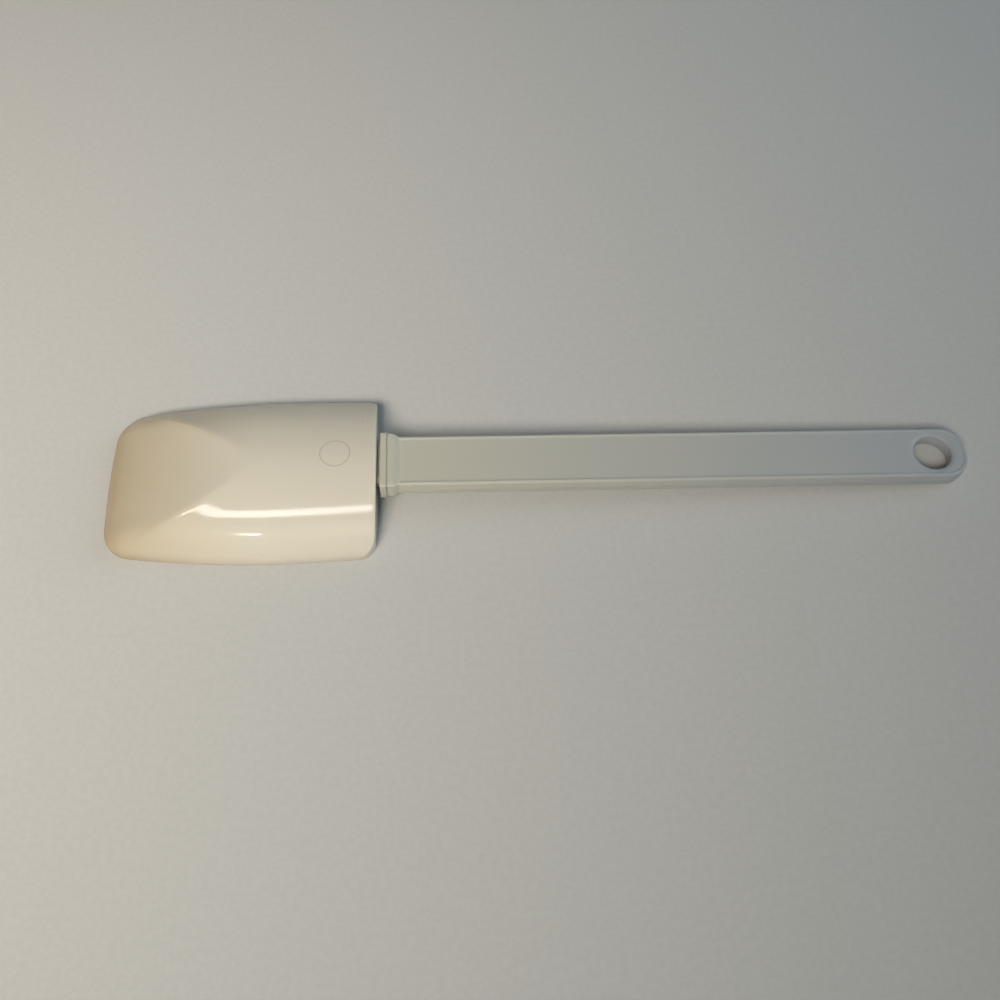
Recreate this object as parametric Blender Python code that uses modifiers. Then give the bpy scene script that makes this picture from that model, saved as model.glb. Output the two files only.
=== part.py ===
"""Spoon spatula: a stiff moulded handle with a tang, and a flexible spoon-shaped head pushed onto it.

Metres, +Z up. The tool lies with its bowl down: the rim of the head and the far end of the handle are at
height zero, the tip points along -X, and the origin is under the middle of the tool's length.
"""
import math

import bmesh
import bpy
import numpy as np
from mathutils import Matrix, Vector

# Whole tool
TOTAL_LENGTH = 0.3430
FIT_CLEARANCE = 0.0003

# Head, seen from above
HEAD_LENGTH = 0.1075
HEAD_WIDTH = 0.0725
TIP_WIDTH = 0.0600
SIDE_TAPER_LENGTH = 0.0715
TIP_BOW = 0.0012
TIP_CORNER_RADIUS = 0.0093
REAR_DRAW_IN = 0.0011
REAR_TAPER_LENGTH = 0.0480
REAR_BOW = 0.0008
REAR_CORNER_RADIUS = 0.0058

# Head, back surface
CROWN_HEIGHT = 0.0184
RIM_HEIGHT = 0.0012
ARCH_POWER = 1.82
NOSE_LENGTH = 0.0600
NOSE_POWER = 1.50
RIDGE_BLEND = 0.0012

# Head, bowl on the hidden side
SIDE_RIM_WIDTH = 0.0024
TIP_RIM_WIDTH = 0.0018
REAR_RIM_WIDTH = 0.0045
BLADE_THICKNESS = 0.0024
BOWL_POWER = 2.30
BOWL_REAR_SWEEP = 0.0220
BOWL_BLEND = 0.0030
SOCKET_FLOOR = 0.0024
SOCKET_ROOF = 0.0034

# Handle bar
BAR_WIDTH = 0.0226
BAR_THICKNESS = 0.0074
BAR_DRAFT = 0.0002
BAR_EDGE_RADIUS = 0.0009
BAR_END_RADIUS = 0.0096

# Hang hole
HOLE_DIAMETER = 0.0150
HOLE_TO_END = 0.0138
HOLE_RIM_ROUND = 0.0014

# Collar behind the head: flange, groove and shoulder
COLLAR_GAP = 0.0012
FLANGE_LENGTH = 0.0026
FLANGE_WIDTH = 0.0250
FLANGE_THICKNESS = 0.0101
GROOVE_WIDTH = 0.0005
GROOVE_DEPTH = 0.0005
SHOULDER_LENGTH = 0.0042
SHOULDER_WIDTH = 0.0243
SHOULDER_THICKNESS = 0.0095
COLLAR_EDGE_RADIUS = 0.0010

# Tang inside the head
TANG_LENGTH = 0.0480
TANG_ROOT_WIDTH = 0.0180
TANG_TIP_WIDTH = 0.0130
TANG_ROOT_THICKNESS = 0.0050
TANG_TIP_THICKNESS = 0.0035
TANG_CORNER_RADIUS = 0.0030
RIB_HEIGHT = 0.0005
RIB_COUNT = 3

# Fineness of the surfaces
HEAD_STEPS_LONG = 26
HEAD_STEPS_ACROSS = 18
CORNER_STEPS = 10
HOLE_STEPS = 40
RIB_STEPS = 24

# Half height of the socket at its mouth, and the height of the tang's axis there
SOCKET_HALF_HEIGHT = TANG_ROOT_THICKNESS / 2 + RIB_HEIGHT + FIT_CLEARANCE
AXIS_HEIGHT = CROWN_HEIGHT - SOCKET_ROOF - SOCKET_HALF_HEIGHT

# Tilt of the handle, which rises from its far end to the head
EXPOSED_LENGTH = TOTAL_LENGTH - HEAD_LENGTH
TILT = math.atan2(AXIS_HEIGHT - BAR_THICKNESS / 2, EXPOSED_LENGTH)
END_HEIGHT = BAR_THICKNESS / 2 * math.cos(TILT) - BAR_EDGE_RADIUS * (math.cos(TILT) + math.sin(TILT) - 1)

# Places along the handle's axis, from zero at its far end to negative at the head, whose rear face leans
# with the handle
REAR_FACE = END_HEIGHT * math.sin(TILT) - EXPOSED_LENGTH * math.cos(TILT)
FLANGE_FRONT = REAR_FACE + COLLAR_GAP
FLANGE_BACK = FLANGE_FRONT + FLANGE_LENGTH
SHOULDER_FRONT = FLANGE_BACK + GROOVE_WIDTH
SHOULDER_BACK = SHOULDER_FRONT + SHOULDER_LENGTH
TANG_END = REAR_FACE - TANG_LENGTH


def handle_frame():
    """Frame of the handle: origin at the far end on the bar's mid plane, X along the bar, tilted by TILT."""
    return Matrix.Translation((TOTAL_LENGTH / 2, 0, END_HEIGHT)) @ Matrix.Rotation(TILT, 4, 'Y')


def new_collection(name):
    """A collection in the scene."""
    collection = bpy.data.collections.new(name)
    bpy.context.scene.collection.children.link(collection)
    return collection


def object_from_bmesh(name, shape, collection, parent=None):
    """An object made from a bmesh, with smooth faces and sharp corners."""
    bmesh.ops.recalc_face_normals(shape, faces=shape.faces)
    mesh = bpy.data.meshes.new(name)
    shape.to_mesh(mesh)
    shape.free()
    mesh.shade_smooth()
    mesh.set_sharp_from_angle(angle=math.radians(35))
    piece = bpy.data.objects.new(name, mesh)
    piece.parent = parent
    collection.objects.link(piece)
    return piece


def hide_cutter(piece):
    """Mark an object as a tool that shapes others and isn't a piece itself."""
    piece.hide_render = True
    piece.display_type = 'WIRE'


def combine(target, tool, operation):
    """Add a tool's volume to a target or cut it from the target."""
    modifier = target.modifiers.new(tool.name, 'BOOLEAN')
    modifier.operation = operation
    modifier.object = tool
    modifier.solver = 'EXACT'


def round_edges(piece, radius, segments, angle=40):
    """Round the edges of a piece that are sharper than an angle in degrees."""
    modifier = piece.modifiers.new("edges", 'BEVEL')
    modifier.width = radius
    modifier.segments = segments
    modifier.limit_method = 'ANGLE'
    modifier.angle_limit = math.radians(angle)


def plastic(name, colour, roughness):
    """A plain plastic of one colour."""
    material = bpy.data.materials.new(name)
    material.use_nodes = True
    shader = material.node_tree.nodes["Principled BSDF"]
    shader.inputs["Base Color"].default_value = (*colour, 1)
    shader.inputs["Roughness"].default_value = roughness
    shader.inputs["Metallic"].default_value = 0
    return material


# Head: plan outline and surfaces, with x measured from the foremost point of the tip


def side_half_width(x, rim):
    """Half width of the head at x, less a rim: drawn in smoothly towards the tip and a little at the rear."""
    tip_part = (HEAD_WIDTH - TIP_WIDTH) / 2 * np.clip(1 - x / SIDE_TAPER_LENGTH, 0, None) ** 2
    rear_part = REAR_DRAW_IN * np.clip(1 - (HEAD_LENGTH - x) / REAR_TAPER_LENGTH, 0, None) ** 2
    return HEAD_WIDTH / 2 - tip_part - rear_part - rim


def corner_setback(y, half_width, radius):
    """How far a rounded corner sets an end edge back at y."""
    inside = np.clip(y - (half_width - radius), 0, radius)
    return radius - np.sqrt(radius ** 2 - inside ** 2)


def tip_outline(share, rim_side, rim_tip, radius):
    """Place of the tip's edge at a share of the half width: a bowed edge with rounded corners."""
    half_width = side_half_width(0, rim_side)
    y = share * half_width
    return rim_tip + TIP_BOW * share ** 2 + corner_setback(y, half_width, radius)


def rear_outline(share, rim_side, rim_rear, radius):
    """Place of the rear edge at a share of the half width: a slightly bowed edge with rounded corners."""
    half_width = side_half_width(HEAD_LENGTH, rim_side)
    setback = REAR_BOW * share ** 2 + corner_setback(share * half_width, half_width, radius)
    return HEAD_LENGTH - rim_rear - setback


def smooth_min(a, b, blend):
    """The lower of two heights, with a soft crease that fades out where both are low."""
    soft = blend * np.clip(np.minimum(a, b) / (3 * blend), 1e-6, 1)
    mix = np.clip(0.5 + 0.5 * (b - a) / soft, 0, 1)
    return b + (a - b) * mix - soft * mix * (1 - mix)


def nose_rise(x, start, length):
    """Share of the full height that the nose has reached at x, from its start over its length."""
    away = np.clip(1 - (x - start) / length, 0, 1)
    return (1 - away ** NOSE_POWER) ** (1 / NOSE_POWER)


def back_height(x, share):
    """Height of the head's back: an arch across and a nose towards the tip, whichever is lower.

    The blend between them narrows to nothing at the crown, where both are level, so that the
    crown keeps its full height and the ridge stays where the two curves cross.
    """
    arch = (1 - share ** ARCH_POWER) ** (1 / ARCH_POWER)
    nose = nose_rise(x, tip_outline(share, 0, 0, TIP_CORNER_RADIUS), NOSE_LENGTH)
    rise = CROWN_HEIGHT - RIM_HEIGHT
    blend = RIDGE_BLEND * (1.001 - nose ** 8)
    return RIM_HEIGHT + smooth_min(rise * arch, rise * nose, blend)


def socket_underside(x):
    """Height of the socket's lower wall at x, on the handle's tilted axis."""
    depth = (HEAD_LENGTH - x) / TANG_LENGTH
    half = SOCKET_HALF_HEIGHT - depth * (TANG_ROOT_THICKNESS - TANG_TIP_THICKNESS) / 2
    return AXIS_HEIGHT + (HEAD_LENGTH - x) * math.tan(TILT) - half


def bowl_height(x, share):
    """Height of the bowl's ceiling: under the socket's floor, swept down to the rim all round."""
    ceiling = socket_underside(x) - SOCKET_FLOOR
    arch = (1 - share ** BOWL_POWER) ** (1 / BOWL_POWER)
    end = rear_outline(share, SIDE_RIM_WIDTH, REAR_RIM_WIDTH, REAR_CORNER_RADIUS)
    from_end = np.clip(end - x, 0, BOWL_REAR_SWEEP) / BOWL_REAR_SWEEP
    sweep = np.sqrt(1 - (1 - from_end) ** 2)
    start = tip_outline(share, SIDE_RIM_WIDTH, TIP_RIM_WIDTH, TIP_CORNER_RADIUS)
    nose = nose_rise(x, start, NOSE_LENGTH - TIP_RIM_WIDTH)
    return smooth_min(ceiling * arch * sweep, (CROWN_HEIGHT - BLADE_THICKNESS) * nose, BOWL_BLEND)


def half_surface(rims, height):
    """Half of a head surface as a grid of points, from tip to rear and from the side to the middle.

    Towards the rear the points lean back with their height, so that the rear face is square to the handle.
    """
    rim_side, rim_tip, rim_rear = rims
    turn = np.linspace(0, math.pi / 2, HEAD_STEPS_ACROSS + 1)[None, :]
    along = np.linspace(0, 1, HEAD_STEPS_LONG + 1)[:, None]
    share = np.cos(turn) ** (2 / ARCH_POWER)
    share[:, -1] = 0
    first = tip_outline(share, rim_side, rim_tip, TIP_CORNER_RADIUS)
    last = rear_outline(share, rim_side, rim_rear, REAR_CORNER_RADIUS)
    spread = along ** 1.35
    x = first + (last - first) * spread
    y = side_half_width(x, rim_side) * share
    z = height(x, share + 0 * along)
    lean = z * math.tan(TILT) * spread
    return np.stack([x + lean - TOTAL_LENGTH / 2, y, z], axis=-1)


def edge_chain(grid):
    """The rim of a half surface: round the tip, along the side and across the rear."""
    return np.concatenate([grid[0, ::-1], grid[1:, 0], grid[-1, 1:]])


def add_strip(shape, first, second):
    """Join two chains of vertices of equal length with quads."""
    for k in range(len(first) - 1):
        shape.faces.new((first[k], first[k + 1], second[k + 1], second[k]))


def build_head(collection, parent):
    """The flexible head: arched back, upright rim, flat lip and bowl, as a mirrored half."""
    back = half_surface((0, 0, 0), back_height)
    bowl = half_surface((SIDE_RIM_WIDTH, TIP_RIM_WIDTH, REAR_RIM_WIDTH), bowl_height)
    bowl[0, :, 2] = bowl[-1, :, 2] = bowl[:, 0, 2] = 0
    shape = bmesh.new()
    grids = []
    for points in (back, bowl):
        rows = [[shape.verts.new(point) for point in row] for row in points]
        for near, far in zip(rows, rows[1:]):
            add_strip(shape, near, far)
        grids.append(rows)
    foot = half_surface((0, 0, 0), lambda x, share: 0 * x)
    floor = [shape.verts.new(point) for point in edge_chain(foot)]
    chains = []
    for rows in grids:
        chains.append(rows[0][::-1] + [row[0] for row in rows[1:]] + rows[-1][1:])
    add_strip(shape, chains[0], floor)
    add_strip(shape, floor, chains[1])
    head = object_from_bmesh("head", shape, collection, parent)
    head.location = -parent.location
    mirror = head.modifiers.new("other half", 'MIRROR')
    mirror.use_axis = (False, True, False)
    mirror.merge_threshold = 0.00001
    return head


# Handle: pieces in the handle's frame


def rounded_outline(start, end, width, radius):
    """Outline of a bar from start to end along X with rounded corners at its end."""
    half = width / 2
    points = [(start, -half)]
    for centre, first in (((end - radius, radius - half), -90), ((end - radius, half - radius), 0)):
        for step in range(CORNER_STEPS + 1):
            turn = math.radians(first + 90 * step / CORNER_STEPS)
            points.append((centre[0] + radius * math.cos(turn), centre[1] + radius * math.sin(turn)))
    points.append((start, half))
    return points


def build_bar(collection, parent):
    """The grip bar: two drafted halves that meet on a parting line at mid height."""
    shape = bmesh.new()
    outline = rounded_outline(FLANGE_BACK, 0, BAR_WIDTH, BAR_END_RADIUS)
    face = shape.faces.new([shape.verts.new((x, y, 0)) for x, y in outline])
    shape.normal_update()
    bmesh.ops.inset_region(shape, faces=[face], thickness=BAR_DRAFT, depth=BAR_THICKNESS / 2,
                           use_boundary=True, use_even_offset=True)
    bar = object_from_bmesh("handle", shape, collection, parent)
    mirror = bar.modifiers.new("lower half", 'MIRROR')
    mirror.use_axis = (False, False, True)
    mirror.merge_threshold = 0.00001
    round_edges(bar, BAR_EDGE_RADIUS, 2)
    return bar


def build_block(name, places, widths, thicknesses, collection, parent):
    """A tapered block from one place to another along the bar."""
    shape = bmesh.new()
    bmesh.ops.create_cube(shape, size=1)
    for vertex in shape.verts:
        end = 0 if vertex.co.x < 0 else 1
        vertex.co = Vector((places[end], vertex.co.y * widths[end], vertex.co.z * thicknesses[end]))
    block = object_from_bmesh(name, shape, collection, parent)
    hide_cutter(block)
    return block


def build_collar(collection, parent):
    """Shoulder, groove core and stop flange between the bar and the head."""
    shoulder = build_block("shoulder", (SHOULDER_FRONT, SHOULDER_BACK), (SHOULDER_WIDTH, BAR_WIDTH),
                           (SHOULDER_THICKNESS, BAR_THICKNESS), collection, parent)
    core_width = SHOULDER_WIDTH - 2 * GROOVE_DEPTH
    core_thickness = SHOULDER_THICKNESS - 2 * GROOVE_DEPTH
    core_ends = (FLANGE_FRONT + FLANGE_LENGTH / 2, SHOULDER_FRONT + SHOULDER_LENGTH / 4)
    core = build_block("groove core", core_ends, (core_width, core_width),
                       (core_thickness, core_thickness), collection, parent)
    flange = build_block("flange", (FLANGE_FRONT, FLANGE_BACK), (FLANGE_WIDTH, FLANGE_WIDTH),
                         (FLANGE_THICKNESS, FLANGE_THICKNESS), collection, parent)
    round_edges(shoulder, COLLAR_EDGE_RADIUS, 2)
    round_edges(flange, COLLAR_EDGE_RADIUS, 2)
    return [shoulder, core, flange]


def tang_size(place):
    """Width and thickness of the tang at a place on its axis."""
    share = (REAR_FACE - place) / TANG_LENGTH
    width = TANG_ROOT_WIDTH + (TANG_TIP_WIDTH - TANG_ROOT_WIDTH) * share
    thickness = TANG_ROOT_THICKNESS + (TANG_TIP_THICKNESS - TANG_ROOT_THICKNESS) * share
    return width, thickness


def build_tapered_blade(name, root, grow_side, grow_flat, collection, parent):
    """The tang from its root to its end, or the socket round it, larger by a growth all round."""
    shape = bmesh.new()
    bmesh.ops.create_cube(shape, size=1)
    end = TANG_END - grow_side
    for vertex in shape.verts:
        place = end if vertex.co.x < 0 else root
        width, thickness = tang_size(place)
        vertex.co = Vector((place, vertex.co.y * (width + 2 * grow_side),
                            vertex.co.z * (thickness + 2 * grow_flat)))
    corners = [edge for edge in shape.edges
               if all(abs(vertex.co.x - end) < 1e-6 for vertex in edge.verts)
               and abs(edge.verts[0].co.y - edge.verts[1].co.y) < 1e-6]
    bmesh.ops.bevel(shape, geom=corners, offset=TANG_CORNER_RADIUS + grow_side, segments=5,
                    profile=0.5, affect='EDGES')
    blade = object_from_bmesh(name, shape, collection, parent)
    hide_cutter(blade)
    return blade


def build_ribs(collection, parent):
    """Low round ribs across both faces of the tang, which grip the socket."""
    ribs = []
    for number in range(RIB_COUNT):
        place = REAR_FACE - TANG_LENGTH * (number + 1) / (RIB_COUNT + 1)
        width, thickness = tang_size(place)
        shape = bmesh.new()
        radius = thickness / 2 + RIB_HEIGHT
        bmesh.ops.create_cone(shape, cap_ends=True, segments=RIB_STEPS, radius1=radius, radius2=radius,
                              depth=width - 2 * TANG_CORNER_RADIUS)
        bmesh.ops.rotate(shape, verts=shape.verts, matrix=Matrix.Rotation(math.pi / 2, 3, 'X'))
        bmesh.ops.translate(shape, verts=shape.verts, vec=(place, 0, 0))
        rib = object_from_bmesh(f"rib {number + 1}", shape, collection, parent)
        hide_cutter(rib)
        ribs.append(rib)
    return ribs


def build_hole_cutter(collection, parent):
    """A turned cutter for the hang hole, flared at both faces so that the hole's rim is rounded."""
    radius = HOLE_DIAMETER / 2
    face = BAR_THICKNESS / 2
    above = face + HOLE_RIM_ROUND
    profile = [(0, above), (radius + HOLE_RIM_ROUND, above)]
    for turn in (0, 30, 60, 90):
        angle = math.radians(turn)
        profile.append((radius + HOLE_RIM_ROUND * (1 - math.sin(angle)),
                        face - HOLE_RIM_ROUND * (1 - math.cos(angle))))
    profile += [(x, -z) for x, z in reversed(profile)]
    shape = bmesh.new()
    points = [shape.verts.new((x, 0, z)) for x, z in profile]
    for first, second in zip(points, points[1:]):
        shape.edges.new((first, second))
    mesh = bpy.data.meshes.new("hang hole")
    shape.to_mesh(mesh)
    shape.free()
    cutter = bpy.data.objects.new("hang hole", mesh)
    cutter.parent = parent
    cutter.location = (-HOLE_TO_END, 0, 0)
    collection.objects.link(cutter)
    screw = cutter.modifiers.new("turn", 'SCREW')
    screw.steps = HOLE_STEPS
    screw.render_steps = HOLE_STEPS
    screw.use_merge_vertices = True
    screw.merge_threshold = 0.00001
    hide_cutter(cutter)
    return cutter


def build_handle(collection, tools, parent):
    """The handle as one moulding: bar, collar, tang and ribs joined, and the hang hole cut."""
    handle = build_bar(collection, parent)
    tang = build_tapered_blade("tang", FLANGE_FRONT + FLANGE_LENGTH / 2, 0, 0, tools, parent)
    for block in build_collar(tools, parent) + [tang] + build_ribs(tools, parent):
        combine(handle, block, 'UNION')
    combine(handle, build_hole_cutter(tools, parent), 'DIFFERENCE')
    return handle


def add_empty(name, collection, matrix):
    """An empty that carries pieces."""
    empty = bpy.data.objects.new(name, None)
    collection.objects.link(empty)
    empty.matrix_world = matrix
    return empty


def main():
    """Clear the scene and build both mouldings."""
    for piece in list(bpy.data.objects):
        bpy.data.objects.remove(piece, do_unlink=True)
    parts = new_collection("spoon_spatula")
    tools = new_collection("cutters")
    frame = handle_frame()
    handle_base = add_empty("handle_axis", parts, frame)
    head_base = add_empty("head_slide", parts, Matrix.Translation(frame @ Vector((REAR_FACE, 0, 0))))
    handle = build_handle(parts, tools, handle_base)
    head = build_head(parts, head_base)
    socket = build_tapered_blade("socket", FLANGE_FRONT, FIT_CLEARANCE, FIT_CLEARANCE + RIB_HEIGHT, tools,
                                 handle_base)
    combine(head, socket, 'DIFFERENCE')
    handle.data.materials.append(plastic("handle plastic", (0.43, 0.42, 0.38), 0.38))
    head.data.materials.append(plastic("head plastic", (0.66, 0.60, 0.47), 0.22))


main()
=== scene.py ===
"""Spoon spatula, dressed for a studio picture.

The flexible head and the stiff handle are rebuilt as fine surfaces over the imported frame, with rounded
edges, parting line, dished grip and moulded finishes. Metres, +Z up: the tool lies with its bowl down, the
tip of the head points along -X and the hanging end of the handle along +X.
"""

import logging
import math
from dataclasses import dataclass, field
from enum import Enum

import bmesh
import bpy
import numpy as np
from mathutils import Matrix, Vector


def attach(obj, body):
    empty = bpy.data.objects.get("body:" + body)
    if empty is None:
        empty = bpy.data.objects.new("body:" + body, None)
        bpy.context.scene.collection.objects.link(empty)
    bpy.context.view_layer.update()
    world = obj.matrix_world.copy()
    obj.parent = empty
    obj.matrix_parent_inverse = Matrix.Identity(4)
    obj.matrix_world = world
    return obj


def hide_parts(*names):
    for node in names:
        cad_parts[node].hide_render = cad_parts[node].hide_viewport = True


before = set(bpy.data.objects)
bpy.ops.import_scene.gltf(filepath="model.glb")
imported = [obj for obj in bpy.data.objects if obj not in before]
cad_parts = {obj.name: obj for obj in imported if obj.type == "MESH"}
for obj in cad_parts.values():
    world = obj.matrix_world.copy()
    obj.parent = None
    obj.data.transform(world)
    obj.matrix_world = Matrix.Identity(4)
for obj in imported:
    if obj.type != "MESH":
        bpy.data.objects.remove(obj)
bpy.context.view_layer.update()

log = logging.getLogger("spoon_spatula")
TOTAL_LENGTH = 0.3430
WELD_DISTANCE = 1e-6
CREASE_ANGLE = 38.0
CORNER_STEPS, SIDE_STEPS = 6, 8
UP = np.array([0.0, 0.0, 1.0])
IN_PLAN = np.array([1.0, 1.0, 0.0])
CLOUD_SCALE, CLOUD_RANGE = 28.0, (0.34, 0.68)
SCRATCH_LINES, SCRATCH_RANGE = ((0.35, 26.0), (-0.9, 20.0)), (0.70, 0.76)
PATCH_SCALE, PATCH_RANGE = 45.0, (0.45, 0.62)
SPECK_RARITY = 0.93

Array = np.ndarray
Triple = tuple[float, float, float]
Pair = tuple[float, float]
Socket = bpy.types.NodeSocket
Tree = bpy.types.NodeTree


class Side(Enum):
    """The two faces of the flat bar."""

    UPPER = 1
    LOWER = -1


class LampRole(Enum):
    """What each lamp of the studio does."""

    WINDOW = "window"
    FRONT = "front"
    TUBE = "tube"
    SPARKLE = "sparkle"
    BACK = "back"
    COOL_FILL = "cool_fill"


# Mesh making


def rounded(count: int, start: float = 0.0, stop: float = math.pi / 2) -> Array:
    """Angles in equal steps from start to stop, count steps, both ends included."""
    return np.linspace(start, stop, count + 1)


def quarter(count: int) -> list[Pair]:
    """A quarter circle in equal steps, as pairs of 1 - sin t and 1 - cos t."""
    return [(1 - math.sin(turn), 1 - math.cos(turn)) for turn in rounded(count)]


def with_height(plan: Array, height: float | Array) -> Array:
    """Points of the XY plane, each set at its height."""
    return np.concatenate([plan, np.broadcast_to(height, plan[..., :1].shape)], axis=-1)


def soft_min(a: Array, b: Array, blend: float | Array, foot: float = 3.0) -> Array:
    """The lower of two heights with a soft crease.

    Formula: a quadratic blend over the width `blend`, which fades out where both heights are low, so that
    the shared foot of both surfaces stays where it is.

    Args:
        a: first height field.
        b: second height field.
        blend: width of the crease in metres.
        foot: the least height over the width of the crease.

    Returns:
        The blended lower height.
    """
    soft = blend * np.clip(np.minimum(a, b) / (foot * blend), 1e-6, 1)
    mix = np.clip(0.5 + 0.5 * (b - a) / soft, 0, 1)
    return b + (a - b) * mix - soft * mix * (1 - mix)


def smooth_step(value: Array, low: float, high: float) -> Array:
    """Zero below low, one above high, with the cubic 3t^2 - 2t^3 between."""
    t = np.clip((value - low) / (high - low), 0, 1)
    return t * t * (3 - 2 * t)


@dataclass
class Shell:
    """A mesh in the making: grids of points and the quads between them."""

    points: list[Array] = field(default_factory=list)
    quads: list[Array] = field(default_factory=list)
    caps: list[list[int]] = field(default_factory=list)
    total: int = 0

    def add_grid(self, grid: Array, wrap: bool = False) -> Array:
        """Add a grid of points and the quads between its rows and columns.

        Args:
            grid: points of shape (rows, columns, 3).
            wrap: True where the last column joins the first.

        Returns:
            The vertex numbers of the grid, shape (rows, columns).
        """
        rows, columns = grid.shape[:2]
        numbers = self.total + np.arange(rows * columns).reshape(rows, columns)
        self.points.append(grid.reshape(-1, 3))
        self.total += rows * columns
        right = np.roll(numbers, -1, axis=1) if wrap else numbers[:, 1:]
        left = numbers if wrap else numbers[:, :-1]
        corners = (left[:-1], right[:-1], right[1:], left[1:])
        self.quads.append(np.stack(corners, axis=-1).reshape(-1, 4))
        return numbers

    def add_cap(self, numbers: Array) -> None:
        """Close a flat opening whose rim has these vertex numbers."""
        self.caps.append([int(number) for number in numbers])

    def add_loft(self, points: Array) -> None:
        """Add a loft of closed sections and close both of its ends."""
        numbers = self.add_grid(points, wrap=True)
        self.add_cap(numbers[0])
        self.add_cap(numbers[-1][::-1])

    def build(self, name: str) -> bpy.types.Object:
        """Make the object at the origin: weld the seams, turn the faces outwards and shade it smooth."""
        mesh = bpy.data.meshes.new(name)
        faces = np.concatenate(self.quads).tolist() + self.caps
        mesh.from_pydata(np.concatenate(self.points), [], faces, shade_flat=False)
        shape = bmesh.new()
        shape.from_mesh(mesh)
        bmesh.ops.remove_doubles(shape, verts=shape.verts, dist=WELD_DISTANCE)
        bmesh.ops.dissolve_degenerate(shape, edges=shape.edges, dist=WELD_DISTANCE)
        bmesh.ops.recalc_face_normals(shape, faces=shape.faces)
        shape.to_mesh(mesh)
        shape.free()
        finish_shading(mesh)
        return place_in_scene(name, mesh)


def place_in_scene(name: str, data: bpy.types.ID) -> bpy.types.Object:
    """Make an object of a mesh, lamp or camera and link it to the scene."""
    thing = bpy.data.objects.new(name, data)
    bpy.context.scene.collection.objects.link(thing)
    return thing


def finish_shading(mesh: bpy.types.Mesh) -> None:
    """Shade a mesh smooth except at edges sharper than the crease angle."""
    mesh.shade_smooth()
    mesh.set_sharp_from_angle(angle=math.radians(CREASE_ANGLE))


def carve(target: bpy.types.Object, cutter: bpy.types.Object) -> None:
    """Cut one closed shape from another for good, and drop the cutter."""
    modifier = target.modifiers.new("carve", 'BOOLEAN')
    modifier.operation = 'DIFFERENCE'
    modifier.object = cutter
    modifier.solver = 'EXACT'
    graph = bpy.context.evaluated_depsgraph_get()
    carved = bpy.data.meshes.new_from_object(target.evaluated_get(graph))
    plain, spare = target.data, cutter.data
    target.modifiers.clear()
    target.data = carved
    carved.name = target.name
    bpy.data.objects.remove(cutter)
    for mesh in (plain, spare):
        bpy.data.meshes.remove(mesh)
    finish_shading(carved)


# Materials


@dataclass
class Nodes:
    """Shorthand for adding and joining the nodes of one tree."""

    tree: Tree

    def add(self, kind: str, **values: object) -> bpy.types.Node:
        """Add a node and set its properties by name."""
        node = self.tree.nodes.new(kind)
        for label, value in values.items():
            setattr(node, label, value)
        return node

    def feed(self, value: object, socket: Socket) -> None:
        """Join an output to an input, or set the input to a constant."""
        if isinstance(value, Socket):
            self.tree.links.new(value, socket)
        else:
            socket.default_value = value

    def fill(self, node: bpy.types.Node, **values: object) -> bpy.types.Node:
        """Feed a node's inputs by name, where an underscore stands for a space."""
        for label, value in values.items():
            self.feed(value, node.inputs[label.replace("_", " ")])
        return node

    def maths(self, operation: str, first: object, second: object = 0.0) -> Socket:
        """One sum on two numbers or sockets, as a socket."""
        node = self.add('ShaderNodeMath', operation=operation)
        self.feed(first, node.inputs[0])
        self.feed(second, node.inputs[1])
        return node.outputs[0]

    def noise(self, vector: Socket, scale: object, detail: float = 2.0, roughness: float = 0.5) -> Socket:
        """A noise of a given scale per metre, from 0 to 1."""
        node = self.fill(self.add('ShaderNodeTexNoise'), Vector=vector, Scale=scale, Detail=detail,
                         Roughness=roughness)
        return node.outputs["Fac"]

    def ramp(self, value: object, low: float, high: float, start: float = 0.0, stop: float = 1.0,
             kind: str = 'SMOOTHSTEP') -> Socket:
        """A ramp from start at low to stop at high, smooth unless the kind says otherwise."""
        node = self.fill(self.add('ShaderNodeMapRange', interpolation_type=kind), Value=value, From_Min=low,
                         From_Max=high, To_Min=start, To_Max=stop)
        return node.outputs["Result"]

    def blend(self, share: object, first: object, second: object) -> Socket:
        """A mix of two colours by a share."""
        node = self.add('ShaderNodeMix', data_type='RGBA')
        self.feed(share, node.inputs[0])
        for value, socket in ((first, node.inputs[6]), (second, node.inputs[7])):
            self.feed(value if isinstance(value, Socket) else (*value, 1), socket)
        return node.outputs[2]

    def tint(self, colour: Socket, mask: Socket, share: float, other: Triple) -> Socket:
        """A colour with another one laid over it by a share of a mask."""
        return self.blend(self.maths('MULTIPLY', mask, share), colour, other)

    def axes(self, vector: Socket) -> list[Socket]:
        """The three coordinates of a place."""
        return list(self.fill(self.add('ShaderNodeSeparateXYZ'), Vector=vector).outputs)

    def bump(self, height: Socket, strength: float, distance: float) -> Socket:
        """The normal of a bumped surface."""
        node = self.fill(self.add('ShaderNodeBump'), Strength=strength, Distance=distance, Height=height)
        return node.outputs["Normal"]

    def group(self, tree: Tree, vector: Socket, **values: float) -> bpy.types.bpy_prop_collection:
        """The outputs of a group placed with its own values."""
        return self.fill(self.add('ShaderNodeGroup', node_tree=tree), Vector=vector, **values).outputs


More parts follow.
